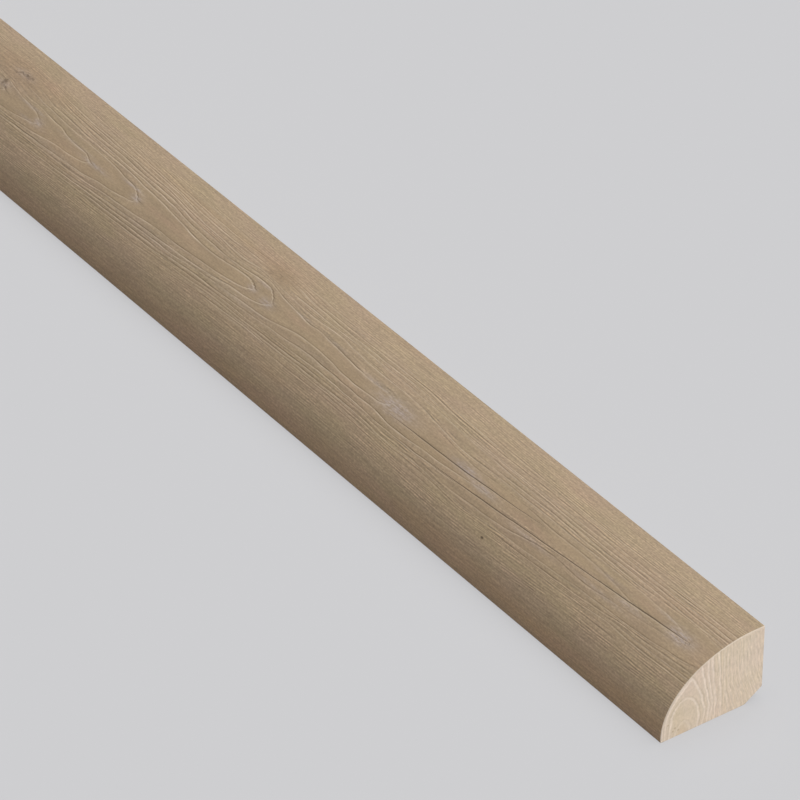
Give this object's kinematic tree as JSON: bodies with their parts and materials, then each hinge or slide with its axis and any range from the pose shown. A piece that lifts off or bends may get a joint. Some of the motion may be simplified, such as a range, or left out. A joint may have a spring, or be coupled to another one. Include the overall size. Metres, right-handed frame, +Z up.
{
  "type": "quarter round moulding",
  "caption": "Stick of stained oak quarter round moulding that covers the gap between a floor and a wall, with a rounded face and a planed-off hidden corner.",
  "frame": {"origin": "at floor level, half way along the stick and half way between the toe and the wall side", "axes": "+X along the stick, +Y from the toe to the wall side, +Z up from the floor"},
  "size_m": [1.981, 0.027, 0.019],
  "materials": {
    "stained_oak": "matte"
  },
  "bodies": {
    "root": {"quarter_round": "stained_oak"}
  },
  "joints": []
}
